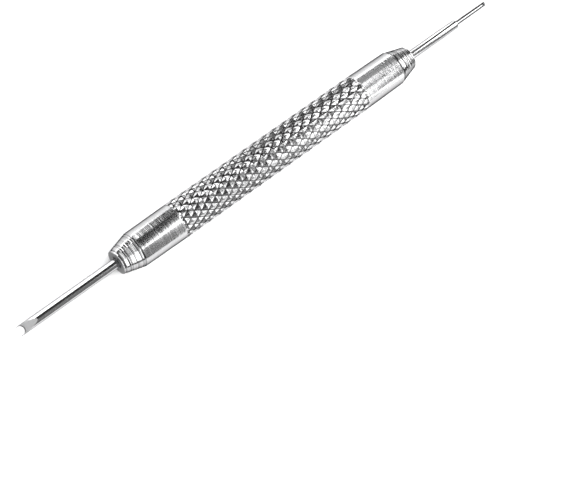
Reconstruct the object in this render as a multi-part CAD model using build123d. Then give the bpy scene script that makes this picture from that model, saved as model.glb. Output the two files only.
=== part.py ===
from build123d import *
import math
import os

# Double-ended spring bar tool: a knurled handle with a screw-in fork tip at one end
# and a screw-in pin tip at the other.
#
# Frame: the tool's axis is the X axis and X = 0 is the middle of its grip. The fork
# points to -X and the pin to +X. Z is up, and the fork's flats face up and down.
# Millimetres and degrees.

# Handle, one turned bar
handle_length = 65.2  # nose face to nose face
grip_diameter = 6.6  # over the crests of the knurl
grip_length = 41.0
grip_edge_chamfer = 0.2
barrel_step = 0.07  # the smooth barrel starts this far under the knurl's crests
shoulder_drop = 0.15  # and has sunk this far at its shoulder
nose_length = 3.8  # the steep cone between shoulder and nose face
nose_face_diameter = 4.3
nose_edge_chamfer = 0.1
ridge_count = 9  # tool marks turned round each nose cone
ridge_depth = 0.06

# Sockets, one drilled and tapped into each nose
thread_diameter = 2.0
thread_length = 6.0
thread_clearance = 0.03  # radial, between a tip's thread and its socket
socket_lead = 1.5  # how deep the thread starts under the nose face
socket_mouth_chamfer = 0.12
drill_point_angle = 118.0
seat_gap = 0.02  # between a seated tip and the drilled bottom

# Tips
tip_reach = 19.4  # how far each tip stands out of its nose face
thread_end_chamfer = 0.25
fork_undercut = 0.12  # how far the fork's shank lies under its thread
fork_blade_length = 3.3  # length of the ground flats
fork_edge_thickness = 0.4  # thickness left between the flats at the prongs
notch_depth = 1.0
prong_width = 0.14  # left beside the notch at each prong's end
grinding_overrun = 0.5  # how far the ground wedge runs past the metal that it cuts
pin_undercut = 0.17  # how far the pin's shank lies under its thread
pin_diameter = 0.8
pin_length = 7.4
pin_step_chamfer = 0.12
pin_end_chamfer = 0.08

# Worked out from the sizes above
half_handle = handle_length / 2
half_grip = grip_length / 2
grip_radius = grip_diameter / 2
barrel_radius = grip_radius - barrel_step
shoulder_radius = grip_radius - shoulder_drop
shoulder_x = half_handle - nose_length
nose_radius = nose_face_diameter / 2
socket_radius = thread_diameter / 2
thread_radius = socket_radius - thread_clearance
socket_depth = socket_lead + thread_length
drill_slope = math.tan(math.radians(drill_point_angle / 2))
thread_end_radius = thread_radius - thread_end_chamfer
tail_depth = socket_depth + (socket_radius - thread_end_radius) / drill_slope - seat_gap
fork_shank_radius = thread_radius - fork_undercut
pin_shank_radius = thread_radius - pin_undercut
notch_half_mouth = fork_shank_radius - prong_width
notch_radius = (notch_half_mouth**2 + notch_depth**2) / (2 * notch_depth)
pin_radius = pin_diameter / 2


def turn(outline):
    """Turn a closed outline of (x, radius) points about the tool's axis."""
    wire = Polyline([(x, 0, radius) for x, radius in outline], close=True)
    return revolve(make_face(wire), Axis.X, 360)


def ridged_nose():
    """Outline of a nose cone from its shoulder to its face, with a groove after each ridge."""
    run_length = nose_length - nose_edge_chamfer
    rise = nose_radius - shoulder_radius
    outline = []
    for ridge in range(ridge_count):
        crest = ridge / ridge_count
        groove = (ridge + 0.5) / ridge_count
        outline.append((shoulder_x + crest * run_length, shoulder_radius + crest * rise))
        outline.append((shoulder_x + groove * run_length, shoulder_radius + groove * rise - ridge_depth))
    outline.append((half_handle - nose_edge_chamfer, nose_radius))
    outline.append((half_handle, nose_radius - nose_edge_chamfer))
    return outline


def socket():
    """The tapped hole at the +X end, drawn at the thread's full diameter."""
    mouth_radius = socket_radius + socket_mouth_chamfer
    bottom_x = half_handle - socket_depth
    return turn(
        [
            (half_handle, 0),
            (half_handle, mouth_radius),
            (half_handle - socket_mouth_chamfer, socket_radius),
            (bottom_x, socket_radius),
            (bottom_x - socket_radius / drill_slope, 0),
        ]
    )


def handle():
    """The knurled bar, its knurl drawn as the cylinder over its crests."""
    grip_end = [
        (half_grip - grip_edge_chamfer, grip_radius),
        (half_grip, barrel_radius),
    ]
    right = grip_end + ridged_nose()
    left = [(-x, radius) for x, radius in reversed(right)]
    bar = turn([(-half_handle, 0)] + left + right + [(half_handle, 0)])
    hole = socket()
    return bar - hole - mirror(hole, Plane.YZ)


def tip_blank(shank_radius, front):
    """A tip for the +X socket: threaded tail, shank, then the points given in front."""
    seat_x = half_handle - tail_depth
    thread_start = half_handle - socket_lead
    undercut = thread_radius - shank_radius
    tail = [
        (seat_x, 0),
        (seat_x, thread_end_radius),
        (seat_x + thread_end_chamfer, thread_radius),
        (thread_start - undercut, thread_radius),
        (thread_start, shank_radius),
    ]
    return turn(tail + front)


def pin_tip():
    """The stepped pin at the +X end."""
    end_x = half_handle + tip_reach
    step_x = end_x - pin_length
    return tip_blank(
        pin_shank_radius,
        [
            (step_x - pin_step_chamfer, pin_shank_radius),
            (step_x, pin_shank_radius - pin_step_chamfer),
            (step_x, pin_radius),
            (end_x - pin_end_chamfer, pin_radius),
            (end_x, pin_radius - pin_end_chamfer),
            (end_x, 0),
        ],
    )


def blade_side():
    """The wedge ground off the upper side of the fork's blade at the +X end."""
    end_x = half_handle + tip_reach
    flat_start = end_x - fork_blade_length
    flat_end = fork_edge_thickness / 2
    slope = (fork_shank_radius - flat_end) / fork_blade_length
    past = grinding_overrun
    wedge = Polyline(
        (flat_start - past, 0, fork_shank_radius + past * slope),
        (end_x + past, 0, flat_end - past * slope),
        (end_x + past, 0, fork_shank_radius + past),
        (flat_start - past, 0, fork_shank_radius + past),
        close=True,
    )
    return extrude(make_face(wedge), amount=fork_shank_radius + past, dir=(0, 1, 0), both=True)


def fork_tip():
    """The two-pronged blade at the -X end, with a round notch between its prongs."""
    end_x = half_handle + tip_reach
    blank = tip_blank(fork_shank_radius, [(end_x, fork_shank_radius), (end_x, 0)])
    ground = blade_side()
    notch_centre = end_x - notch_depth + notch_radius
    notch = Pos(notch_centre, 0, 0) * Cylinder(notch_radius, 2 * fork_shank_radius)
    blade = blank - ground - mirror(ground, Plane.XY) - notch
    return mirror(blade, Plane.YZ)


os.makedirs("parts", exist_ok=True)
pieces = {"handle": handle(), "fork_tip": fork_tip(), "pin_tip": pin_tip()}
for name, piece in pieces.items():
    export_step(piece, f"parts/{name}.step")
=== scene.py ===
"""Looks of a double-ended spring bar tool: knurled steel handle, screw-in fork and screw-in pin.

The tool's axis is the X axis. The fork points to -X and the pin to +X. Sizes are in metres.
"""

import logging
import math
import random
from collections.abc import Callable
from dataclasses import dataclass, field
from enum import Enum

import bmesh
import bpy
from mathutils import Matrix, Vector


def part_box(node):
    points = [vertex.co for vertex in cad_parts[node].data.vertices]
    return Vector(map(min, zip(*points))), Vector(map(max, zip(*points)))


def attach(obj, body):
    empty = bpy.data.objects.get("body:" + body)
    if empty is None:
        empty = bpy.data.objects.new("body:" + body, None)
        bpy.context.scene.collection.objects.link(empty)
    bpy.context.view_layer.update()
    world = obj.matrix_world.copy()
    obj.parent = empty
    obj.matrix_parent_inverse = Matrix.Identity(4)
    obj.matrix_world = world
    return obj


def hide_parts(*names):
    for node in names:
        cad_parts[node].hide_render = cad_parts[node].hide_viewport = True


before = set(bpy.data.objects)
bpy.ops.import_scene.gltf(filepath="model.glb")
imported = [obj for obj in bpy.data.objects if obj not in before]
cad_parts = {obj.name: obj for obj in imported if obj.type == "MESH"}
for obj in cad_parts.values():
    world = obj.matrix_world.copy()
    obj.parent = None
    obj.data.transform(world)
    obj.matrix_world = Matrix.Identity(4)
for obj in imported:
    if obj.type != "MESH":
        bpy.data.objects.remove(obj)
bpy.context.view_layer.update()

LOG = logging.getLogger("spring_bar_tool")
MM = 0.001
WELD = 1e-6
SOCKET_LEAD = 1.5 * MM
FORK_UNDERCUT = 0.12 * MM
PIN_UNDERCUT = 0.17 * MM
IMAGE_WIDTH_PX = 569
SENSOR_WIDTH_MM = 36.0

Socket = bpy.types.NodeSocket
Ask = Callable[[str], Socket]
Sleeve = tuple[Socket, Socket, Socket, Socket, Socket]
Outline = list[tuple[float, ...]]


class End(Enum):
    """The two ends of the tool, by the direction that each one points along X."""

    FORK = -1
    PIN = 1


class Lay(Enum):
    """Which way a tool or a stone left its fine lines, as stretch factors along X, Y and Z."""

    TURNED = (1.0, 0.02, 0.02)
    DRAWN = (0.02, 1.0, 1.0)
    GROUND = (1.0, 0.04, 0.3)
    FACED = (0.05, 1.0, 1.0)


# ---------------------------------------------------------------- node trees


class Graph:
    """A node tree that is wired up as its nodes are added."""

    def __init__(self, tree: bpy.types.NodeTree) -> None:
        """Start from an empty tree."""
        self.tree = tree
        self.tree.nodes.clear()

    def node(self, kind: str, inputs: dict | None = None, **settings: object) -> bpy.types.Node:
        """Add one node.

        Args:
            kind: The node's type name.
            inputs: Values or sockets by the input's name or number.
            settings: The node's own options.

        Returns:
            The new node.
        """
        node = self.tree.nodes.new(kind)
        for name, value in settings.items():
            setattr(node, name, value)
        for key, value in (inputs or {}).items():
            if isinstance(value, Socket):
                self.tree.links.new(value, node.inputs[key])
            else:
                node.inputs[key].default_value = value
        return node

    def math(self, operation: str, *values: Socket | float) -> Socket:
        """Add a math node and return its result."""
        return self.node("ShaderNodeMath", dict(enumerate(values)), operation=operation).outputs[0]

    def remap(self, value: Socket, low: float, high: float, to_low: float, to_high: float) -> Socket:
        """Map a value from one range to another, clamped, and return the result."""
        ends = {"Value": value, "From Min": low, "From Max": high, "To Min": to_low, "To Max": to_high}
        return self.node("ShaderNodeMapRange", ends).outputs[0]


@dataclass
class RuleSurface:
    """A sleeve round the X axis whose radius follows a rule, made with Geometry Nodes."""

    label: str

    def inputs(self) -> dict[str, tuple[str, object]]:
        """Return each named input as its socket type and value."""
        raise NotImplementedError

    def rule(self, graph: Graph, ask: Ask) -> Sleeve:
        """Add the rule's nodes.

        Args:
            graph: The tree to add to.
            ask: Gives the socket of a named input.

        Returns:
            The flat grid, then for each of its points the place along X, the radius, the angle
            in turns, and how much painted darkening the point gets, from 0 to 1: painted shade in
            a groove or a thread's root, or a painted dark line along a knurl's ridge.
        """
        raise NotImplementedError

    def mesh(self, material: bpy.types.Material) -> bpy.types.Mesh:
        """Run the rule and return the sleeve as a plain mesh.

        Args:
            material: The finish that the whole sleeve gets.

        Returns:
            A mesh of triangles with the point attribute "groove".
        """
        tree = bpy.data.node_groups.new(self.label, "GeometryNodeTree")
        graph = Graph(tree)
        values = {}
        for name, (kind, value) in self.inputs().items():
            item = tree.interface.new_socket(name=name, in_out="INPUT", socket_type=kind)
            values[item.identifier] = value
        finish = tree.interface.new_socket(name="Finish", in_out="INPUT", socket_type="NodeSocketMaterial")
        values[finish.identifier] = material
        tree.interface.new_socket(name="Geometry", in_out="OUTPUT", socket_type="NodeSocketGeometry")
        given = graph.node("NodeGroupInput")
        grid, along, radius, turn, groove = self.rule(graph, lambda name: given.outputs[name])
        angle = graph.math("MULTIPLY", turn, math.tau)
        across = graph.math("MULTIPLY", radius, graph.math("COSINE", angle))
        up = graph.math("MULTIPLY", radius, graph.math("SINE", angle))
        point = graph.node("ShaderNodeCombineXYZ", {"X": along, "Y": across, "Z": up}).outputs[0]
        stored = graph.node(
            "GeometryNodeStoreNamedAttribute",
            {"Geometry": grid, "Name": "groove", "Value": groove},
            data_type="FLOAT",
            domain="POINT",
        ).outputs[0]
        wrapped = graph.node("GeometryNodeSetPosition", {"Geometry": stored, "Position": point}).outputs[0]
        split = graph.node(
            "GeometryNodeTriangulate", {0: wrapped}, quad_method="SHORTEST_DIAGONAL"
        ).outputs[0]
        welded = graph.node("GeometryNodeMergeByDistance", {"Geometry": split, "Distance": WELD}).outputs[0]
        real = graph.node("GeometryNodeRealizeInstances", {"Geometry": welded}).outputs[0]
        dressed = graph.node(
            "GeometryNodeSetMaterial", {"Geometry": real, "Material": given.outputs["Finish"]}
        ).outputs[0]
        graph.node("NodeGroupOutput", {"Geometry": dressed})
        return run_tree(tree, values)


def run_tree(tree: bpy.types.NodeTree, values: dict[str, object]) -> bpy.types.Mesh:
    """Evaluate a geometry tree once on an empty object.

    Args:
        tree: The tree to run.
        values: The inputs by socket identifier.

    Returns:
        The result as a plain mesh.
    """
    carrier = bpy.data.objects.new(tree.name, bpy.data.meshes.new(tree.name))
    modifier = carrier.modifiers.new(tree.name, "NODES")
    modifier.node_group = tree
    for identifier, value in values.items():
        modifier[identifier] = value
    bpy.context.scene.collection.objects.link(carrier)
    return plain_mesh(carrier)


def plain_mesh(carrier: bpy.types.Object) -> bpy.types.Mesh:
    """Apply an object's modifiers and remove the object.

    Args:
        carrier: The object, linked to the scene.

    Returns:
        Its mesh with the modifiers applied.
    """
    view = bpy.context.evaluated_depsgraph_get()
    made = bpy.data.meshes.new_from_object(
        carrier.evaluated_get(view), preserve_all_data_layers=True, depsgraph=view
    )
    bpy.data.objects.remove(carrier)
    return made


@dataclass
class Knurl(RuleSurface):
    """A diamond knurl: two families of helical grooves that leave blunt pyramids."""

    length: float = 41.0 * MM
    crest_radius: float = 3.3 * MM
    root_radius: float = 3.08 * MM
    end_radius: float = 3.23 * MM
    starts: int = 15
    diamonds_along: float = 18.5
    cells: int = 12
    groove_floor: float = 0.07
    groove_width: float = 0.25
    land: float = 0.03
    ridge_line_width: float = 0.16
    wander: float = 0.02 * MM
    seed: float = 4.0

    RIDGE_LINE_DARK = 0.62
    WANDER_SCALE = 2.3
    END_ROW_PART = 20.0

    def around(self) -> int:
        """Return how many cells the knurl has round the grip."""
        return self.starts * self.cells

    def inputs(self) -> dict[str, tuple[str, object]]:
        """Return each named input as its socket type and value."""
        return {
            "Length": ("NodeSocketFloat", self.length),
            "Crest Radius": ("NodeSocketFloat", self.crest_radius),
            "Root Radius": ("NodeSocketFloat", self.root_radius),
            "End Radius": ("NodeSocketFloat", self.end_radius),
            "Starts": ("NodeSocketFloat", float(self.starts)),
            "Diamonds Along": ("NodeSocketFloat", self.diamonds_along),
            "Cells": ("NodeSocketFloat", float(self.cells)),
            "Groove Floor": ("NodeSocketFloat", self.groove_floor),
            "Groove Width": ("NodeSocketFloat", self.groove_width),
            "Land": ("NodeSocketFloat", self.land),
            "Burr Width": ("NodeSocketFloat", self.ridge_line_width),
            "Wander": ("NodeSocketFloat", self.wander),
            "Seed": ("NodeSocketFloat", self.seed),
        }

    def rule(self, graph: Graph, ask: Ask) -> Sleeve:
        """Add the knurl's nodes.

        Args:
            graph: The tree to add to.
            ask: Gives the socket of a named input.

        Returns:
            What RuleSurface.rule returns. Painted shade darkens the grooves, and painted dark lines run
            along the pyramids' ridges.
        """
        length, cells = ask("Length"), ask("Cells")
        rows = graph.math("MULTIPLY", ask("Diamonds Along"), cells)
        columns = graph.math("MULTIPLY", ask("Starts"), cells)
        grid = graph.node(
            "GeometryNodeMeshGrid",
            {
                "Size X": length,
                "Size Y": 1.0,
                "Vertices X": graph.math("ADD", rows, 1.0),
                "Vertices Y": graph.math("ADD", columns, 1.0),
            },
        ).outputs[0]
        flat = graph.node("ShaderNodeSeparateXYZ", {0: graph.node("GeometryNodeInputPosition").outputs[0]})
        along, turn = flat.outputs[0], flat.outputs[1]
        period = graph.math("DIVIDE", length, ask("Diamonds Along"))
        around = graph.math("MULTIPLY", turn, ask("Starts"))
        advance = graph.math("DIVIDE", along, period)
        walls = [
            graph.math("PINGPONG", graph.math(side, around, advance), 0.5) for side in ("ADD", "SUBTRACT")
        ]
        height = graph.math("MULTIPLY", graph.math("MINIMUM", *walls), 2.0)
        top = graph.math("SUBTRACT", 1.0, ask("Land"))
        shaped = graph.remap(height, ask("Groove Floor"), top, 0.0, 1.0)
        # Painted dark lines along the pyramids' ridges, widest where a ridge is.
        ridge_lines = []
        for position in (around, advance):
            off_ridge = graph.math("PINGPONG", graph.math("MULTIPLY", position, 2.0), 0.5)
            ridge_lines.append(graph.remap(off_ridge, 0.0, ask("Burr Width"), self.RIDGE_LINE_DARK, 0.0))
        angle = graph.math("MULTIPLY", turn, math.tau)
        spot = graph.node(
            "ShaderNodeCombineXYZ",
            {"X": advance, "Y": graph.math("COSINE", angle), "Z": graph.math("SINE", angle)},
        ).outputs[0]
        noise = graph.node(
            "ShaderNodeTexNoise",
            {"Vector": spot, "W": ask("Seed"), "Scale": self.WANDER_SCALE},
            noise_dimensions="4D",
        ).outputs[0]
        drop = graph.math("MULTIPLY", graph.math("MULTIPLY", noise, ask("Wander")), shaped)
        pressed = graph.math("SUBTRACT", ask("Crest Radius"), ask("Root Radius"))
        pyramid = graph.math("ADD", ask("Root Radius"), graph.math("MULTIPLY", pressed, shaped))
        worn = graph.math("SUBTRACT", pyramid, drop)
        margin = graph.math("DIVIDE", period, self.END_ROW_PART)
        last_row = graph.math("SUBTRACT", graph.math("MULTIPLY", length, 0.5), margin)
        at_end = graph.math("GREATER_THAN", graph.math("ABSOLUTE", along), last_row)
        kept = graph.math("MULTIPLY", worn, graph.math("SUBTRACT", 1.0, at_end))
        radius = graph.math("ADD", kept, graph.math("MULTIPLY", ask("End Radius"), at_end))
        # Painted shade, darkest at the bottom of each groove.
        groove = graph.remap(height, ask("Groove Floor"), ask("Groove Width"), 1.0, 0.0)
        return grid, along, radius, turn, graph.math("MAXIMUM", groove, graph.math("MAXIMUM", *ridge_lines))


@dataclass
class Thread(RuleSurface):
    """A right-hand screw thread that fades out over its first and last turn."""

    start: float = 0.0
    length: float = 6.0 * MM
    pitch: float = 0.4 * MM
    root_radius: float = 0.76 * MM
    crest_radius: float = 0.97 * MM
    around: int = 48
    rows_per_turn: int = 8
    flat_root: float = 0.25
    flat_crest: float = 0.15

    def inputs(self) -> dict[str, tuple[str, object]]:
        """Return each named input as its socket type and value."""
        return {
            "Start": ("NodeSocketFloat", self.start),
            "Length": ("NodeSocketFloat", self.length),
            "Pitch": ("NodeSocketFloat", self.pitch),
            "Root Radius": ("NodeSocketFloat", self.root_radius),
            "Crest Radius": ("NodeSocketFloat", self.crest_radius),
            "Around": ("NodeSocketFloat", float(self.around)),
            "Rows Per Turn": ("NodeSocketFloat", float(self.rows_per_turn)),
            "Flat Root": ("NodeSocketFloat", self.flat_root),
            "Flat Crest": ("NodeSocketFloat", self.flat_crest),
        }

    def rule(self, graph: Graph, ask: Ask) -> Sleeve:
        """Add the thread's nodes.

        Args:
            graph: The tree to add to.
            ask: Gives the socket of a named input.

        Returns:
            What RuleSurface.rule returns. Painted shade darkens the thread's root.
        """
        length, pitch = ask("Length"), ask("Pitch")
        step = graph.math("DIVIDE", pitch, ask("Rows Per Turn"))
        rows = graph.math("CEIL", graph.math("DIVIDE", graph.math("ADD", length, pitch), step))
        wound = graph.math("MULTIPLY", rows, step)
        grid = graph.node(
            "GeometryNodeMeshGrid",
            {
                "Size X": wound,
                "Size Y": 1.0,
                "Vertices X": graph.math("ADD", rows, 1.0),
                "Vertices Y": graph.math("ADD", ask("Around"), 1.0),
            },
        ).outputs[0]
        flat = graph.node("ShaderNodeSeparateXYZ", {0: graph.node("GeometryNodeInputPosition").outputs[0]})
        row = graph.math("ADD", flat.outputs[0], graph.math("MULTIPLY", wound, 0.5))
        turn = graph.math("ADD", flat.outputs[1], 0.5)
        climbed = graph.math("ADD", row, graph.math("MULTIPLY", graph.math("SUBTRACT", turn, 1.0), pitch))
        inside = graph.math("MINIMUM", graph.math("MAXIMUM", climbed, 0.0), length)
        wave = graph.math("MULTIPLY", graph.math("PINGPONG", graph.math("DIVIDE", row, pitch), 0.5), 2.0)
        top = graph.math("SUBTRACT", 1.0, ask("Flat Crest"))
        ridge = graph.remap(wave, ask("Flat Root"), top, 0.0, 1.0)
        to_end = graph.math("MINIMUM", inside, graph.math("SUBTRACT", length, inside))
        fade = graph.math("MINIMUM", graph.math("DIVIDE", to_end, pitch), 1.0)
        height = graph.math("MULTIPLY", ridge, fade)
        cut = graph.math("SUBTRACT", ask("Crest Radius"), ask("Root Radius"))
        radius = graph.math("ADD", ask("Root Radius"), graph.math("MULTIPLY", cut, height))
        along = graph.math("ADD", ask("Start"), inside)
        # Painted shade: darkest at the thread's root, none on its crest.
        return grid, along, radius, turn, graph.math("SUBTRACT", 1.0, height)


# ---------------------------------------------------------------- finishes


@dataclass(frozen=True)
class SteelFinish:
    """A bare or plated steel surface with the fine lines that its making left."""

    name: str
    tint: tuple[float, float, float]
    roughness: float
    lay: Lay
    line_width: float
    line_depth: float
    roughness_spread: float = 0.03
    tint_spread: float = 0.08
    # How far the painted shade and painted dark lines that the groove attribute carries darken the colour.
    painted_dark: float = 0.0
    groove_rough: float = 0.0
    mottle_width: float = 1.6 * MM

    LINE_DETAIL, MOTTLE_DETAIL = 2.0, 4.0
    FINE_PHASE, COARSE_PHASE = 1.0, 7.0
    COARSE_WIDTH, COARSE_WEIGHT = 4.0, 2.0
    ROUGHNESS_RANGE = (0.6, 1.4)
    SHADE_RANGE = (0.7, 1.2)
    # Values of the groove attribute over which the painted darkening sets in.
    PAINTED_DARK_RANGE = (0.30, 0.80)
    EDGE_TINT = (0.0, 0.0, 0.0, 1.0)

    def material(self) -> bpy.types.Material:
        """Build the node material.

        Returns:
            The material, which reads the point attribute "groove".
        """
        made = bpy.data.materials.new(self.name)
        made.use_nodes = True
        graph = Graph(made.node_tree)
        point = graph.node("ShaderNodeTexCoord").outputs["Object"]
        lines = self.lines(graph, point, self.line_width, self.FINE_PHASE)
        coarse = self.lines(graph, point, self.line_width * self.COARSE_WIDTH, self.COARSE_PHASE)
        mottle = graph.node(
            "ShaderNodeTexNoise",
            {"Vector": point, "Scale": 1.0 / self.mottle_width, "Detail": self.MOTTLE_DETAIL},
        ).outputs[0]
        groove = graph.node("ShaderNodeAttribute", attribute_name="groove").outputs["Fac"]
        rough = graph.remap(
            graph.math("ADD", mottle, lines),
            *self.ROUGHNESS_RANGE,
            self.roughness - self.roughness_spread,
            self.roughness + self.roughness_spread,
        )
        rough = graph.math("ADD", rough, graph.math("MULTIPLY", groove, self.groove_rough))
        both = graph.math("ADD", lines, coarse)
        # For most finishes this is random tone. On the nose it also paints dark rings that stand in for its
        # ridges' reflected lines.
        shade = graph.remap(both, *self.SHADE_RANGE, 1.0 - self.tint_spread, 1.0)
        # Painted shade in grooves, thread roots and ridge valleys, and painted dark lines on the knurl's
        # ridges.
        dark = graph.remap(groove, *self.PAINTED_DARK_RANGE, 1.0, 1.0 - self.painted_dark)
        level = graph.math("MULTIPLY", shade, dark)
        colour = graph.node(
            "ShaderNodeVectorMath", {0: self.tint, "Scale": level}, operation="SCALE"
        ).outputs[0]
        height = graph.math("ADD", lines, graph.math("MULTIPLY", coarse, self.COARSE_WEIGHT))
        bump = graph.node("ShaderNodeBump", {"Distance": self.line_depth, "Height": height}).outputs[0]
        shader = graph.node(
            "ShaderNodeBsdfPrincipled",
            {
                "Base Color": colour,
                "Metallic": 1.0,
                "Roughness": rough,
                "Normal": bump,
                "Specular Tint": self.EDGE_TINT,
            },
        ).outputs[0]
        graph.node("ShaderNodeOutputMaterial", {"Surface": shader})
        return made

    def lines(self, graph: Graph, point: Socket, width: float, phase: float) -> Socket:
        """Add noise drawn out into lines.

        Args:
            graph: The tree to add to.
            point: The surface point.
            width: Distance from one line to the next.
            phase: Moves the noise, so that two sets of lines differ.

        Returns:
            The lines' height, from 0 to 1.
        """
        scale = tuple(stretch / width for stretch in self.lay.value)
        mapped = graph.node(
            "ShaderNodeMapping", {"Vector": point, "Location": (phase, phase, phase), "Scale": scale}
        ).outputs[0]
        return graph.node(
            "ShaderNodeTexNoise", {"Vector": mapped, "Scale": 1.0, "Detail": self.LINE_DETAIL}
        ).outputs[0]


@dataclass(frozen=True)
class FloorFinish:
    """A plain pale tabletop with a faint grain."""

    name: str = "pale_tabletop"
    tint: tuple[float, float, float] = (0.86, 0.86, 0.86)
    roughness: float = 0.85
    grain_width: float = 0.4 * MM

    GRAIN_DETAIL = 3.0
    GRAIN_RANGE = (0.3, 0.7)
    DARKEST = 0.985

    def material(self) -> bpy.types.Material:
        """Build the node material.

        Returns:
            The material.
        """
        made = bpy.data.materials.new(self.name)
        made.use_nodes = True
        graph = Graph(made.node_tree)
        point = graph.node("ShaderNodeTexCoord").outputs["Object"]
        grain = graph.node(
            "ShaderNodeTexNoise",
            {"Vector": point, "Scale": 1.0 / self.grain_width, "Detail": self.GRAIN_DETAIL},
        ).outputs[0]
        level = graph.remap(grain, *self.GRAIN_RANGE, self.DARKEST, 1.0)
        colour = graph.node(
            "ShaderNodeVectorMath", {0: self.tint, "Scale": level}, operation="SCALE"
        ).outputs[0]
        shader = graph.node("ShaderNodeBsdfPrincipled", {"Base Color": colour, "Roughness": self.roughness})
        graph.node("ShaderNodeOutputMaterial", {"Surface": shader.outputs[0]})
        return made


BARREL_STEEL = SteelFinish(
    "barrel_steel", (0.50, 0.50, 0.505), 0.17, Lay.TURNED, 0.16 * MM, 0.008 * MM
)
# The strong tint spread paints dark rings along the nose, partly random tone and partly standing in for the
# light and dark lines its turned ridges reflect. The groove darkening adds painted shade in the ridges'
# valleys.
NOSE_STEEL = SteelFinish(
    "nose_steel", (0.52, 0.52, 0.525), 0.14, Lay.TURNED, 0.10 * MM, 0.004 * MM,
    tint_spread=0.5, painted_dark=0.55,
)
# Strong painted shade in the grooves and painted dark lines along the pyramids' ridges.
KNURL_STEEL = SteelFinish(
    "knurl_steel", (0.53, 0.53, 0.535), 0.15, Lay.DRAWN, 0.12 * MM, 0.001 * MM,
    painted_dark=0.95, groove_rough=0.1,
)
FACE_STEEL = SteelFinish("nose_face_steel", (0.44, 0.44, 0.445), 0.34, Lay.FACED, 0.08 * MM, 0.002 * MM)
BORE_STEEL = SteelFinish("socket_steel", (0.36, 0.36, 0.365), 0.35, Lay.TURNED, 0.08 * MM, 0.002 * MM)
SHANK_STEEL = SteelFinish("shank_steel", (0.50, 0.50, 0.505), 0.12, Lay.TURNED, 0.12 * MM, 0.0005 * MM)
# Painted shade in the thread's root.
THREAD_STEEL = SteelFinish(
    "thread_steel", (0.48, 0.48, 0.485), 0.24, Lay.TURNED, 0.10 * MM, 0.001 * MM, painted_dark=0.3
)
PIN_STEEL = SteelFinish("pin_steel", (0.24, 0.24, 0.243), 0.10, Lay.TURNED, 0.12 * MM, 0.0005 * MM)
GROUND_STEEL = SteelFinish("ground_steel", (0.46, 0.46, 0.465), 0.30, Lay.GROUND, 0.05 * MM, 0.0015 * MM)


# ---------------------------------------------------------------- turned shapes


@dataclass
class Turning:
    """A lathe: grows a mesh round the X axis, one stretch of outline after another."""

    bm: bmesh.types.BMesh = field(default_factory=bmesh.new)

    def ring(self, segments: int, x: float, radius: float, groove: float = 0.0) -> list[bmesh.types.BMVert]:
        """Add a circle of points, or one point where the radius is nought.

        Args:
            segments: Points round the circle.
            x: Where the circle is.
            radius: How wide it is.
            groove: How much painted shade darkens it, from 0 to 1.

        Returns:
            The points in order.
        """
        depth = self.bm.verts.layers.float.get("groove") or self.bm.verts.layers.float.new("groove")
        steps = [math.tau * step / segments for step in range(segments if radius else 1)]
        points = [self.bm.verts.new((x, radius * math.cos(a), radius * math.sin(a))) for a in steps]
        for point in points:
            point[depth] = groove
        return points

    def stretch(self, outline: Outline, segments: int, finish: int) -> None:
        """Turn a run of points.

        Args:
            outline: The points in order, each as x, radius and, if it lies in a groove, how much
                painted shade darkens it. A radius of nought closes the end.
            segments: Points round each circle.
            finish: The material's number on the finished mesh.
        """
        rings = [self.ring(segments, *point) for point in outline]
        for near, far in zip(rings, rings[1:]):
            self.skin(near, far, finish)

    def skin(self, near: list[bmesh.types.BMVert], far: list[bmesh.types.BMVert], finish: int) -> None:
        """Close the gap between two rings, where one may have a multiple of the other's points.

        Args:
            near: One ring's points in order.
            far: The other's.
            finish: The material's number on the finished mesh.
        """
        if len(near) < len(far):
            near, far = far, near
        share = len(near) // len(far)
        for step in range(len(far) if len(far) > 1 else len(near)):
            if len(far) == 1:
                loop = [near[step], near[(step + 1) % len(near)], far[0]]
            else:
                outer = [near[(step * share + k) % len(near)] for k in range(share + 1)]
                loop = outer + [far[(step + 1) % len(far)], far[step]]
            self.bm.faces.new(loop).material_index = finish

    def take(self, mesh: bpy.types.Mesh, finish: int) -> None:
        """Add a ready-made sleeve.

        Args:
            mesh: The sleeve, which is removed once it has been added.
            finish: The material's number on the finished mesh.
        """
        before = set(self.bm.faces)
        self.bm.from_mesh(mesh)
        for face in self.bm.faces:
            if face not in before:
                face.material_index = finish
        bpy.data.meshes.remove(mesh)

    def piece(self, name: str, finishes: list[bpy.types.Material], smooth_up_to: float) -> bpy.types.Object:
        """Weld everything into one closed skin.

        Args:
            name: The finished object's name.
            finishes: The materials by number.
            smooth_up_to: Edges that turn by more than this many degrees stay sharp.

        Returns:
            The new object, linked to the scene.
        """
        bmesh.ops.remove_doubles(self.bm, verts=self.bm.verts, dist=WELD)
        bmesh.ops.recalc_face_normals(self.bm, faces=self.bm.faces)
        mesh = bpy.data.meshes.new(name)
        self.bm.to_mesh(mesh)
        self.bm.free()
        return dress(name, mesh, finishes, smooth_up_to)


def dress(
    name: str, mesh: bpy.types.Mesh, finishes: list[bpy.types.Material], smooth_up_to: float
) -> bpy.types.Object:
    """Make a mesh into a finished object.

    Args:
        name: The object's name.
        mesh: Its mesh, which already has material numbers. The edge of each finish is a sharp edge.
        finishes: The materials by number.
        smooth_up_to: Edges that turn by more than this many degrees stay sharp.

    Returns:
        The new object, linked to the scene.
    """
    mesh.name = name
    if not mesh.materials:
        for finish in finishes:
            mesh.materials.append(finish)
    mesh.shade_smooth()
    mesh.set_sharp_from_angle(angle=math.radians(smooth_up_to))
    bm = bmesh.new()
    bm.from_mesh(mesh)
    for edge in bm.edges:
        if len({face.material_index for face in edge.link_faces}) > 1:
            edge.smooth = False
    bm.to_mesh(mesh)
    bm.free()
    piece = bpy.data.objects.new(name, mesh)
    bpy.context.scene.collection.objects.link(piece)
    return piece


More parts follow.
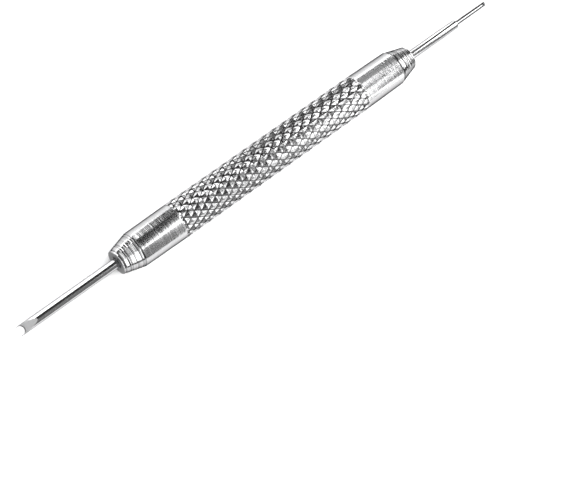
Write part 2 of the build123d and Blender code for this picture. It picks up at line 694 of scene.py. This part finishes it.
def line(start: tuple[float, float], end: tuple[float, float], steps: int) -> Outline:
    """Divide a straight stretch of outline.

    Args:
        start: Its first point.
        end: Its last point.
        steps: How many parts to make.

    Returns:
        The points from start up to, but not including, end.
    """
    return [
        (start[0] + (end[0] - start[0]) * k / steps, start[1] + (end[1] - start[1]) * k / steps)
        for k in range(steps)
    ]


def quarter_round(start_x: float, radius: float, size: float, steps: int) -> Outline:
    """Round off the outer edge of a turned end.

    Args:
        start_x: Where the round starts.
        radius: The radius there.
        size: The round's own radius.
        steps: How many parts to make.

    Returns:
        The points from start_x, where the outline is level, to where it points at the axis.
    """
    angles = [math.radians(90.0 * step / steps) for step in range(steps + 1)]
    return [(start_x + size * math.sin(a), radius - size * (1 - math.cos(a))) for a in angles]


# ---------------------------------------------------------------- the handle


@dataclass
class Handle:
    """The knurled bar with a smooth barrel, a ridged nose cone and a tapped socket at each end."""

    half_length: float
    grip_radius: float
    grip_length: float = 41.0 * MM
    barrel_step: float = 0.07 * MM
    shoulder_drop: float = 0.15 * MM
    nose_length: float = 3.8 * MM
    nose_radius: float = 2.15 * MM
    nose_round: float = 0.1 * MM
    ridges: int = 9
    ridge_depth: float = 0.055 * MM
    socket_radius: float = 1.0 * MM
    mouth_chamfer: float = 0.12 * MM
    socket_depth: float = 7.5 * MM
    socket_plain: float = 0.6 * MM
    tap_depth: float = 0.12 * MM
    drill_slope: float = math.tan(math.radians(59.0))
    bore_segments: int = 45
    knurl_depth: float = 0.20 * MM
    seed: int = 11
    smooth_up_to: float = 26.0
    barrel_steps: int = 24
    round_steps: int = 3

    BARREL, NOSE, KNURL, FACE, BORE = range(5)
    RIDGE_SHAPE = ((0.0, 0.0), (0.2, 0.3), (0.45, 1.0), (0.6, 0.75), (0.8, 0.2))
    WIDTH_SPREAD = (0.6, 1.4)
    DEPTH_SPREAD = (0.25, 1.0)

    def build(self) -> bpy.types.Object:
        """Build the whole handle.

        Returns:
            The handle as one closed skin.
        """
        finishes = [f.material() for f in (BARREL_STEEL, NOSE_STEEL, KNURL_STEEL, FACE_STEEL, BORE_STEEL)]
        turning = Turning()
        knurl = Knurl(
            "knurl",
            length=self.grip_length,
            crest_radius=self.grip_radius,
            root_radius=self.grip_radius - self.knurl_depth,
            end_radius=self.grip_radius - self.barrel_step,
        )
        turning.take(knurl.mesh(finishes[self.KNURL]), self.KNURL)
        chance = random.Random(self.seed)
        for end in End:
            self.add_end(turning, end, knurl.around(), chance, finishes)
        return turning.piece("knurled_handle", finishes, self.smooth_up_to)

    def add_end(
        self,
        turning: Turning,
        end: End,
        segments: int,
        chance: random.Random,
        finishes: list[bpy.types.Material],
    ) -> None:
        """Add the barrel, nose and socket at one end.

        Args:
            turning: The lathe that holds the handle.
            end: Which end to build.
            segments: Points round the barrel, as many as the knurl has.
            chance: Makes no two nose ridges quite alike.
            finishes: The handle's materials by number.
        """
        barrel_radius = self.grip_radius - self.barrel_step
        shoulder = (self.half_length - self.nose_length, self.grip_radius - self.shoulder_drop)
        grip_end = (self.grip_length / 2, barrel_radius)
        barrel = line(grip_end, shoulder, self.barrel_steps) + [shoulder]
        nose = self.nose_outline(shoulder, chance)
        mouth_radius = self.socket_radius + self.mouth_chamfer
        face = [nose[-1][:2], (self.half_length, mouth_radius + self.mouth_chamfer)]
        turning.stretch(self.pointing(barrel, end), segments, self.BARREL)
        turning.stretch(self.pointing(nose, end), segments, self.NOSE)
        turning.stretch(self.pointing(face, end), segments, self.FACE)
        side = end.value
        outer = turning.ring(segments, side * face[-1][0], face[-1][1])
        inner = turning.ring(self.bore_segments, side * self.half_length, mouth_radius)
        turning.skin(outer, inner, self.FACE)
        thread_start = self.half_length - self.socket_plain
        thread_end = self.half_length - self.socket_depth
        lead_in = [
            (self.half_length, mouth_radius),
            (self.half_length - self.mouth_chamfer, self.socket_radius),
            (thread_start, self.socket_radius),
        ]
        drill_point = thread_end - self.socket_radius / self.drill_slope
        bottom = [(thread_end, self.socket_radius), (drill_point, 0.0)]
        turning.stretch(self.pointing(lead_in, end), self.bore_segments, self.BORE)
        turning.stretch(self.pointing(bottom, end), self.bore_segments, self.BORE)
        tapped = Thread(
            "tapped_socket",
            start=min(side * thread_start, side * thread_end),
            length=thread_start - thread_end,
            root_radius=self.socket_radius,
            crest_radius=self.socket_radius + self.tap_depth,
            around=self.bore_segments,
        )
        turning.take(tapped.mesh(finishes[self.BORE]), self.BORE)

    def nose_outline(self, shoulder: tuple[float, float], chance: random.Random) -> Outline:
        """Draw the nose cone, with uneven turned ridges.

        Args:
            shoulder: Where the cone starts, as x and radius.
            chance: Gives the ridges' widths, then their depths.

        Returns:
            The outline from the shoulder to the face.
        """
        run_length = self.nose_length - self.nose_round
        rise = self.nose_radius - shoulder[1]
        outline = []
        widths = [chance.uniform(*self.WIDTH_SPREAD) for _ in range(self.ridges)]
        for ridge, width in enumerate(widths):
            depth = self.ridge_depth * (chance.uniform(*self.DEPTH_SPREAD) if ridge else 1.0)
            for part, sink in self.RIDGE_SHAPE:
                share = (sum(widths[:ridge]) + part * width) / sum(widths)
                radius = shoulder[1] + share * rise - sink * depth
                # The third value is painted shade, deepest in each ridge's valley.
                outline.append((shoulder[0] + share * run_length, radius, sink * depth / self.ridge_depth))
        start = self.half_length - self.nose_round
        return outline + quarter_round(start, self.nose_radius, self.nose_round, self.round_steps)

    @staticmethod
    def pointing(outline: Outline, end: End) -> Outline:
        """Return an outline made for the +X end, turned to point along the given end."""
        return [(end.value * x, *rest) for x, *rest in outline]


# ---------------------------------------------------------------- the tips


@dataclass
class Tip:
    """A screw-in tip: threaded tail, then a shank that the nose's socket holds."""

    seat_x: float
    end_x: float
    thread_start_x: float
    thread_radius: float
    shank_radius: float
    thread_end_chamfer: float = 0.25 * MM
    thread_depth: float = 0.2 * MM
    tail_bevel: float = 0.05 * MM
    neck_length: float = 0.1 * MM
    segments: int = 48
    shank_steps: int = 12
    smooth_up_to: float = 30.0

    SHANK, THREAD, WORKED, PIN = range(4)

    def finishes(self) -> list[bpy.types.Material]:
        """Return the tip's materials by number."""
        return [f.material() for f in (SHANK_STEEL, THREAD_STEEL, GROUND_STEEL, PIN_STEEL)]

    def add_tail(self, turning: Turning, side: int, finishes: list[bpy.types.Material]) -> None:
        """Add the threaded tail and its chamfered end.

        Args:
            turning: The lathe that holds the tip.
            side: 1 for a tip that points to +X, -1 for one that points to -X.
            finishes: The tip's materials by number.
        """
        root = self.thread_radius - self.thread_depth
        seat_end = self.seat_x + self.thread_end_chamfer / 2
        tail = [(self.seat_x, 0.0), (self.seat_x, root - self.tail_bevel), (seat_end, root)]
        turning.stretch([(side * x, radius) for x, radius in tail], self.segments, self.THREAD)
        thread = Thread(
            "tip_thread",
            start=min(side * seat_end, side * self.thread_start_x),
            length=self.thread_start_x - seat_end,
            root_radius=root,
            crest_radius=self.thread_radius,
            around=self.segments,
        )
        turning.take(thread.mesh(finishes[self.THREAD]), self.THREAD)
        neck = [(self.thread_start_x, root), (self.thread_start_x + self.neck_length, self.shank_radius)]
        turning.stretch([(side * x, radius) for x, radius in neck], self.segments, self.SHANK)


@dataclass
class PinTip(Tip):
    """The tip that is stepped down to a thin round pin."""

    pin_radius: float = 0.4 * MM
    pin_length: float = 7.4 * MM
    step_chamfer: float = 0.12 * MM
    pin_round: float = 0.08 * MM
    pin_root: float = 0.04 * MM
    pin_steps: int = 8
    round_steps: int = 4

    CHAMFER_BREAK = (0.25, 0.4)

    def build(self) -> bpy.types.Object:
        """Build the pin tip.

        Returns:
            The tip as one closed skin.
        """
        finishes = self.finishes()
        turning = Turning()
        self.add_tail(turning, End.PIN.value, finishes)
        neck_end = (self.thread_start_x + self.neck_length, self.shank_radius)
        step_x = self.end_x - self.pin_length
        shank_end = (step_x - self.step_chamfer, self.shank_radius)
        shank = line(neck_end, shank_end, self.shank_steps) + [shank_end]
        turning.stretch(shank, self.segments, self.SHANK)
        back, down = self.CHAMFER_BREAK
        step = [
            shank_end,
            (step_x - back * self.step_chamfer, self.shank_radius - down * self.step_chamfer),
            (step_x, self.shank_radius - self.step_chamfer),
            (step_x, self.pin_radius + self.pin_root),
            (step_x + self.pin_root, self.pin_radius),
        ]
        turning.stretch(step, self.segments, self.WORKED)
        pin_end = (self.end_x - self.pin_round, self.pin_radius)
        turning.stretch(line(step[-1], pin_end, self.pin_steps) + [pin_end], self.segments, self.PIN)
        dome = quarter_round(*pin_end, self.pin_round, self.round_steps)
        turning.stretch(dome + [(self.end_x, 0.0)], self.segments, self.PIN)
        return turning.piece("stepped_pin_tip", finishes, self.smooth_up_to)


@dataclass
class ForkTip(Tip):
    """The tip that is ground to a thin blade with a round notch between two prongs."""

    blade_length: float = 3.3 * MM
    edge_thickness: float = 0.4 * MM
    notch_depth: float = 1.0 * MM
    prong_width: float = 0.14 * MM
    overrun: float = 0.5 * MM
    segments: int = 96
    shank_steps: int = 20
    notch_segments: int = 96

    def build(self) -> bpy.types.Object:
        """Build the fork tip.

        Returns:
            The tip as one closed skin, with its blade and notch cut.
        """
        finishes = self.finishes()
        side = End.FORK.value
        turning = Turning()
        self.add_tail(turning, side, finishes)
        neck_end = (self.thread_start_x + self.neck_length, self.shank_radius)
        shank_end = (self.end_x, self.shank_radius)
        shank = line(neck_end, shank_end, self.shank_steps) + [shank_end, (self.end_x, 0.0)]
        turning.stretch([(side * x, radius) for x, radius in shank], self.segments, self.SHANK)
        blank = turning.piece("fork_blank", finishes, self.smooth_up_to)
        cutters = [self.wedge(1.0), self.wedge(-1.0), self.notch()]
        for cutter in cutters:
            for finish in finishes:
                cutter.data.materials.append(finish)
            cut = blank.modifiers.new(cutter.name, "BOOLEAN")
            cut.object, cut.operation, cut.solver = cutter, "DIFFERENCE", "EXACT"
        mesh = plain_mesh(blank)
        for cutter in cutters:
            bpy.data.objects.remove(cutter)
        return dress("notched_fork_tip", mesh, finishes, self.smooth_up_to)

    def wedge(self, side: float) -> bpy.types.Object:
        """Make the wedge of steel that grinding takes off one side of the blade.

        Args:
            side: 1 for the upper side, -1 for the lower.

        Returns:
            The closed wedge, linked to the scene.
        """
        slope = (self.shank_radius - self.edge_thickness / 2) / self.blade_length
        past = self.overrun
        start = -(self.end_x - self.blade_length - past)
        end = -(self.end_x + past)
        high = side * (self.shank_radius + past)
        outline = [
            (start, side * (self.shank_radius + past * slope)),
            (end, side * (self.edge_thickness / 2 - past * slope)),
            (end, high),
            (start, high),
        ]
        return self.prism("wedge", outline, self.shank_radius + past, "Y")

    def notch(self) -> bpy.types.Object:
        """Make the round bar of steel that the notch takes out between the prongs.

        Returns:
            The closed bar, linked to the scene.
        """
        half_mouth = self.shank_radius - self.prong_width
        radius = (half_mouth**2 + self.notch_depth**2) / (2 * self.notch_depth)
        centre = -(self.end_x - self.notch_depth + radius)
        angles = [math.tau * k / self.notch_segments for k in range(self.notch_segments)]
        outline = [(centre + radius * math.cos(a), radius * math.sin(a)) for a in angles]
        return self.prism("notch", outline, self.shank_radius + self.overrun, "Z")

    def prism(self, name: str, outline: Outline, reach: float, along: str) -> bpy.types.Object:
        """Extrude an outline both ways.

        Args:
            name: The object's name.
            outline: Points as (x, z) for a prism along Y, or as (x, y) for one along Z.
            reach: Half the prism's length.
            along: "Y" or "Z".

        Returns:
            The closed prism, linked to the scene.
        """
        bm = bmesh.new()
        caps = []
        for offset in (-reach, reach):
            points = [(x, offset, b) if along == "Y" else (x, b, offset) for x, b in outline]
            caps.append([bm.verts.new(point) for point in points])
        low, high = caps
        bm.faces.new(low)
        bm.faces.new(high)
        for k in range(len(low)):
            following = (k + 1) % len(low)
            bm.faces.new((low[k], low[following], high[following], high[k]))
        for face in bm.faces:
            face.material_index = self.WORKED
        bmesh.ops.recalc_face_normals(bm, faces=bm.faces)
        mesh = bpy.data.meshes.new(name)
        bm.to_mesh(mesh)
        bm.free()
        piece = bpy.data.objects.new(name, mesh)
        bpy.context.scene.collection.objects.link(piece)
        return piece


# ---------------------------------------------------------------- the studio


@dataclass(frozen=True)
class Softbox:
    """A rectangular light that hangs beside the tool, along it, and faces its axis.

    It reaches from one place along X to another, and from one angle round the axis to another.
    The angles are in degrees from straight up, and they grow towards -Y. Skew turns it in its
    own plane, so that its edges cross the tool's axis at a slant.
    """

    name: str
    from_x: float
    to_x: float
    from_angle: float
    to_angle: float
    brightness: float
    distance: float = 0.12
    for_metal: bool = True
    skew: float = 0.0

    WATTS_PER_AREA = 4.0

    def build(self) -> bpy.types.Object:
        """Hang the light.

        Returns:
            The light, which the camera can't see.
        """
        length = self.to_x - self.from_x
        width = 2.0 * self.distance * math.tan(math.radians(self.to_angle - self.from_angle) / 2.0)
        data = bpy.data.lights.new(self.name, "AREA")
        data.shape, data.size, data.size_y = "RECTANGLE", length, width
        data.energy = self.brightness * self.WATTS_PER_AREA * length * width
        light = bpy.data.objects.new(self.name, data)
        light.visible_camera = False
        light.visible_glossy = self.for_metal
        light.visible_diffuse = not self.for_metal
        turn = Matrix.Rotation(math.radians(self.from_angle + self.to_angle) / 2.0, 4, "X")
        away = Matrix.Translation(((self.from_x + self.to_x) / 2.0, 0.0, self.distance))
        light.matrix_world = turn @ away @ Matrix.Rotation(math.radians(self.skew), 4, "Z")
        bpy.context.scene.collection.objects.link(light)
        return light


@dataclass
class Studio:
    """Tabletop, lights, surroundings and camera."""

    floor_z: float
    floor_size: float = 3.0
    floor_squares: int = 8
    surround: tuple[float, float, float] = (0.06, 0.06, 0.06)
    exposure: float = 0.0
    softboxes: tuple[Softbox, ...] = (
        Softbox("top_box", 0.0265, 0.077, -32.0, 26.0, 2.8, skew=-18.0),
        Softbox("knurl_box", 0.031, 0.084, 26.0, 96.0, 2.2),
        Softbox("back_box", -0.100, 0.016, -98.0, -80.0, 2.2, skew=6.0),
        Softbox("knurl_back_box", 0.032, 0.084, -98.0, -76.0, 2.0),
        Softbox("far_back_box", 0.084, 0.118, -98.0, -76.0, 2.2),
        Softbox("far_barrel_box", 0.076, 0.089, 14.0, 62.0, 2.6, skew=-14.0),
        Softbox("far_barrel_dim_box", 0.080, 0.104, -72.0, 4.0, 0.5),
        Softbox("fork_box", -0.024, 0.008, -86.0, -44.0, 3.6),
        Softbox("fork_flat_box", -0.085, -0.058, -30.0, 14.0, 0.35),
        Softbox("nose_box", -0.075, -0.030, 16.0, 76.0, 3.0),
        Softbox("nose_top_box", -0.055, -0.038, -50.0, 16.0, 2.6),
        Softbox("far_nose_box", 0.170, 0.280, -24.0, 56.0, 3.6),
        Softbox("far_nose_dim_box", 0.170, 0.280, -80.0, -24.0, 0.5),
        Softbox("pin_shank_box", 0.106, 0.119, -8.0, 12.0, 5.0),
        Softbox("pin_box", 0.121, 0.140, -18.0, 34.0, 6.0),
        Softbox("pin_back_box", 0.109, 0.119, -100.0, -62.0, 3.4),
        Softbox("knurl_far_box", 0.092, 0.108, 66.0, 118.0, 2.4),
        Softbox("front_wall", -0.400, 0.600, 10.0, 84.0, 0.2, distance=0.60),
        Softbox("left_wall", -0.600, -0.160, -64.0, 64.0, 0.4, distance=0.50),
        Softbox("floor_fill", -0.500, 0.500, -32.0, 32.0, 5.0, distance=0.80, for_metal=False),
    )
    camera_azimuth: float = -41.518
    camera_elevation: float = 50.886
    camera_distance: float = 0.28425
    camera_pan: float = -0.8524
    camera_tilt: float = 3.1427
    camera_swing: float = -31.333
    focal_px: float = 1700.0
    nearest: float = 0.01

    def build(self) -> None:
        """Set the stage."""
        floor = self.floor()
        for box in self.softboxes:
            box.build()
        world = bpy.data.worlds.new("surroundings")
        world.use_nodes = True
        graph = Graph(world.node_tree)
        light = graph.node("ShaderNodeBackground", {"Color": (*self.surround, 1.0)}).outputs[0]
        graph.node("ShaderNodeOutputWorld", {"Surface": light})
        scene = bpy.context.scene
        scene.world = world
        scene.view_settings.view_transform = "Standard"
        scene.view_settings.exposure = self.exposure
        scene.camera = self.camera()

    def floor(self) -> bpy.types.Object:
        """Make the tabletop.

        Returns:
            The tabletop, which the knurl rests on.
        """
        bm = bmesh.new()
        squares = self.floor_squares
        bmesh.ops.create_grid(bm, x_segments=squares, y_segments=squares, size=self.floor_size / 2)
        bmesh.ops.translate(bm, verts=bm.verts, vec=(0.0, 0.0, self.floor_z))
        mesh = bpy.data.meshes.new("tabletop")
        bm.to_mesh(mesh)
        bm.free()
        mesh.materials.append(FloorFinish().material())
        floor = bpy.data.objects.new("tabletop", mesh)
        bpy.context.scene.collection.objects.link(floor)
        return floor

    def camera(self) -> bpy.types.Object:
        """Set the camera up level, then swing it round the tool's axis.

        Returns:
            The camera.
        """
        azimuth, elevation = self.camera_azimuth, self.camera_elevation
        stand = self.direction(azimuth, elevation) * self.camera_distance
        back = self.direction(azimuth + self.camera_pan, elevation + self.camera_tilt)
        level = Matrix.Translation(stand) @ back.to_track_quat("Z", "Y").to_matrix().to_4x4()
        data = bpy.data.cameras.new("camera")
        data.sensor_width = SENSOR_WIDTH_MM
        data.lens = SENSOR_WIDTH_MM * self.focal_px / IMAGE_WIDTH_PX
        data.clip_start = self.nearest
        camera = bpy.data.objects.new("camera", data)
        camera.matrix_world = Matrix.Rotation(math.radians(self.camera_swing), 4, "X") @ level
        bpy.context.scene.collection.objects.link(camera)
        return camera

    @staticmethod
    def direction(azimuth: float, elevation: float) -> Vector:
        """Return the unit vector from the tool to a viewer at these angles, in degrees."""
        a, e = math.radians(azimuth), math.radians(elevation)
        return Vector((math.sin(a) * math.cos(e), -math.cos(a) * math.cos(e), math.sin(e)))


# ---------------------------------------------------------------- putting it together


def place(piece: bpy.types.Object, node: str) -> None:
    """Let a piece stand for a CAD node.

    Args:
        piece: The finished piece.
        node: The node that it replaces, and whose body it rides on.
    """
    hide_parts(node)
    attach(piece, node)
    LOG.info("%s: %d faces, stands for %s", piece.name, len(piece.data.polygons), node)


def main() -> None:
    """Build the pieces in order, then the studio."""
    logging.basicConfig(level=logging.INFO, format="%(name)s %(message)s")
    low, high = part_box("handle")
    handle = Handle(half_length=high.x, grip_radius=high.z)
    place(handle.build(), "handle")
    fork_low, fork_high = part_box("fork_tip")
    fork = ForkTip(
        seat_x=-fork_high.x,
        end_x=-fork_low.x,
        thread_start_x=high.x - SOCKET_LEAD,
        thread_radius=fork_high.z,
        shank_radius=fork_high.z - FORK_UNDERCUT,
    )
    place(fork.build(), "fork_tip")
    pin_low, pin_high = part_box("pin_tip")
    pin = PinTip(
        seat_x=pin_low.x,
        end_x=pin_high.x,
        thread_start_x=high.x - SOCKET_LEAD,
        thread_radius=pin_high.z,
        shank_radius=pin_high.z - PIN_UNDERCUT,
    )
    place(pin.build(), "pin_tip")
    Studio(floor_z=low.z).build()


if __name__ == "__main__":
    main()
